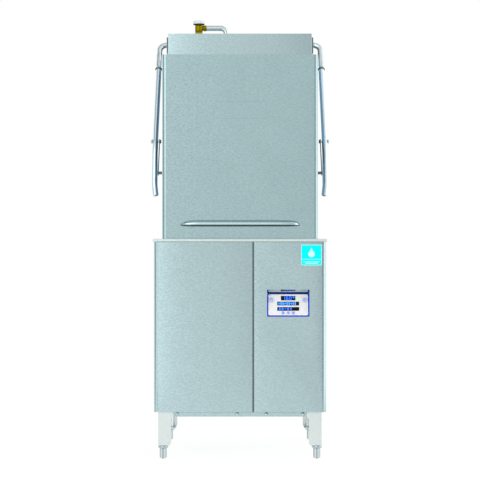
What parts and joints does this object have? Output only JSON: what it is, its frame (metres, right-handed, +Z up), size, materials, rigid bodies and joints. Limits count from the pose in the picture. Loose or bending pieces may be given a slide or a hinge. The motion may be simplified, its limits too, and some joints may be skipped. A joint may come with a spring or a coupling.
{
  "type": "commercial dishwasher",
  "caption": "Door-type commercial dishwasher on legs, with doors that lift together by side arms, a hood, a wash tank, spray arms and a recessed display",
  "frame": {"origin": "on the floor, under the middle of the machine's box", "axes": "+Z up, the front with the display faces -Y, +X is on the right of someone who faces the machine"},
  "size_m": [0.7404, 0.684, 1.799],
  "materials": {
    "sheet": "fine satin, bluish grey",
    "door_sheet": "fine satin, slightly darker",
    "hood_sheet": "fine satin",
    "pale_steel": "pale satin",
    "tank": "pale satin rim",
    "inner_steel": "plain stainless",
    "bracket_steel": "dull stainless",
    "bright_tube": "polished stainless",
    "brass": "bright brass",
    "cap_plastic": "white",
    "display_plastic": "light grey with a blue border",
    "button_plastic": "light grey",
    "box_plastic": "grey",
    "pump_iron": "painted dark",
    "motor_paint": "grey enamel"
  },
  "bodies": {
    "machine": {"base_frame": "sheet", "leg_front_left": "pale_steel", "leg_front_right": "pale_steel", "leg_rear_left": "pale_steel", "leg_rear_right": "pale_steel", "left_side_panel": "sheet", "right_side_panel": "sheet", "rear_panel": "sheet", "front_panel_left": "sheet", "front_panel_right": "sheet", "control_box": "box_plastic", "display_panel": "display_plastic", "wash_tank": "tank", "rack_track": "inner_steel", "strainer": "inner_steel", "tank_heater": "inner_steel", "hood_shell": "hood_sheet", "chamber_back_panel": "hood_sheet", "hood_post_left": "inner_steel", "hood_post_right": "inner_steel", "arm_bracket_left": "bracket_steel", "arm_bracket_right": "bracket_steel", "lift_spring_left": "bracket_steel", "lift_spring_right": "bracket_steel", "pump_housing": "pump_iron", "pump_motor": "motor_paint", "wash_manifold": "inner_steel", "booster_heater": "inner_steel", "supply_pipe": "bright_tube", "vacuum_breaker_body": "brass", "vacuum_breaker_cap": "cap_plastic", "rinse_pipe": "bright_tube"},
    "doors": {"front_door": "door_sheet", "left_door": "door_sheet", "right_door": "door_sheet", "door_handle": "bright_tube"},
    "lift_arms": {"cross_tube": "bright_tube", "spring_yoke": "bracket_steel", "lift_arm_left": "bright_tube", "lift_arm_right": "bright_tube", "link_bolt_left": "bright_tube", "link_bolt_right": "bright_tube"},
    "link_left": {"door_link_left": "bracket_steel"},
    "link_right": {"door_link_right": "bracket_steel"},
    "lower_wash": {"lower_wash_arm": "inner_steel"},
    "lower_rinse": {"lower_rinse_arm": "inner_steel"},
    "upper_wash": {"upper_wash_arm": "inner_steel"},
    "upper_rinse": {"upper_rinse_arm": "inner_steel"},
    "impeller": {"pump_impeller": "brass"},
    "standpipe": {"overflow_standpipe": "inner_steel"},
    "basket": {"scrap_basket": "inner_steel"},
    "foot_front_left": {"foot_front_left": "pale_steel"},
    "foot_front_right": {"foot_front_right": "pale_steel"},
    "foot_rear_left": {"foot_rear_left": "pale_steel"},
    "foot_rear_right": {"foot_rear_right": "pale_steel"},
    "power_button": {"power_button": "button_plastic"},
    "start_button": {"start_button": "button_plastic"},
    "menu_button": {"menu_button": "button_plastic"},
    "up_button": {"up_button": "button_plastic"},
    "down_button": {"down_button": "button_plastic"}
  },
  "joints": [
    {"name": "door_lift", "type": "slide", "parent": "machine", "child": "doors", "axis": [0, 0, 1], "range_m": [0, 0.4473]},
    {"name": "arm_swing", "type": "hinge", "parent": "machine", "child": "lift_arms", "pos_m": [0, 0.285, 1.701], "axis": [-1, 0, 0], "range_deg": [0, 57.93], "deforming": ["lift_spring_left", "lift_spring_right"]},
    {"name": "door_link_left_swing", "type": "hinge", "parent": "lift_arms", "child": "link_left", "pos_m": [-0.333, 0.013, 1.267], "axis": [1, 0, 0], "range_deg": [0, 144.12]},
    {"name": "door_link_right_swing", "type": "hinge", "parent": "lift_arms", "child": "link_right", "pos_m": [0.333, 0.013, 1.267], "axis": [1, 0, 0], "range_deg": [0, 144.12]},
    {"name": "lower_wash_arm_spin", "type": "hinge", "parent": "machine", "child": "lower_wash", "pos_m": [0, 0, 0.813], "axis": [0, 0, 1], "continuous": true},
    {"name": "lower_rinse_arm_spin", "type": "hinge", "parent": "machine", "child": "lower_rinse", "pos_m": [0, 0, 0.8275], "axis": [0, 0, 1], "continuous": true},
    {"name": "upper_wash_arm_spin", "type": "hinge", "parent": "machine", "child": "upper_wash", "pos_m": [0, 0, 1.379], "axis": [0, 0, 1], "continuous": true},
    {"name": "upper_rinse_arm_spin", "type": "hinge", "parent": "machine", "child": "upper_rinse", "pos_m": [0, 0, 1.362], "axis": [0, 0, 1], "continuous": true},
    {"name": "impeller_spin", "type": "hinge", "parent": "machine", "child": "impeller", "pos_m": [-0.02, 0.11, 0.36], "axis": [1, 0, 0], "continuous": true},
    {"name": "standpipe_lift", "type": "slide", "parent": "machine", "child": "standpipe", "axis": [0, 0, 1], "range_m": [0, 0.05]},
    {"name": "basket_lift", "type": "slide", "parent": "machine", "child": "basket", "axis": [0, 0, 1], "range_m": [0, 0.055]},
    {"name": "power_button_press", "type": "slide", "parent": "machine", "child": "power_button", "axis": [0, 0.97, -0.2433], "range_m": [0, 0.002], "stiffness_N_per_m": 600},
    {"name": "start_button_press", "type": "slide", "parent": "machine", "child": "start_button", "axis": [0, 0.97, -0.2433], "range_m": [0, 0.002], "stiffness_N_per_m": 600},
    {"name": "menu_button_press", "type": "slide", "parent": "machine", "child": "menu_button", "axis": [0, 0.97, -0.2433], "range_m": [0, 0.002], "stiffness_N_per_m": 600},
    {"name": "up_button_press", "type": "slide", "parent": "machine", "child": "up_button", "axis": [0, 0.97, -0.2433], "range_m": [0, 0.002], "stiffness_N_per_m": 600},
    {"name": "down_button_press", "type": "slide", "parent": "machine", "child": "down_button", "axis": [0, 0.97, -0.2433], "range_m": [0, 0.002], "stiffness_N_per_m": 600},
    {"name": "foot_front_left_adjust", "type": "slide", "parent": "machine", "child": "foot_front_left", "axis": [0, 0, -1], "range_m": [0, 0.03]},
    {"name": "foot_front_right_adjust", "type": "slide", "parent": "machine", "child": "foot_front_right", "axis": [0, 0, -1], "range_m": [0, 0.03]},
    {"name": "foot_rear_left_adjust", "type": "slide", "parent": "machine", "child": "foot_rear_left", "axis": [0, 0, -1], "range_m": [0, 0.03]},
    {"name": "foot_rear_right_adjust", "type": "slide", "parent": "machine", "child": "foot_rear_right", "axis": [0, 0, -1], "range_m": [0, 0.03]}
  ],
  "couplings": [
    {"joint": "arm_swing", "follows": "door_lift", "rad_per_m": 2.2601},
    {"joint": "door_link_left_swing", "follows": "door_lift", "rad_per_m": 5.6232},
    {"joint": "door_link_right_swing", "follows": "door_lift", "rad_per_m": 5.6232}
  ]
}
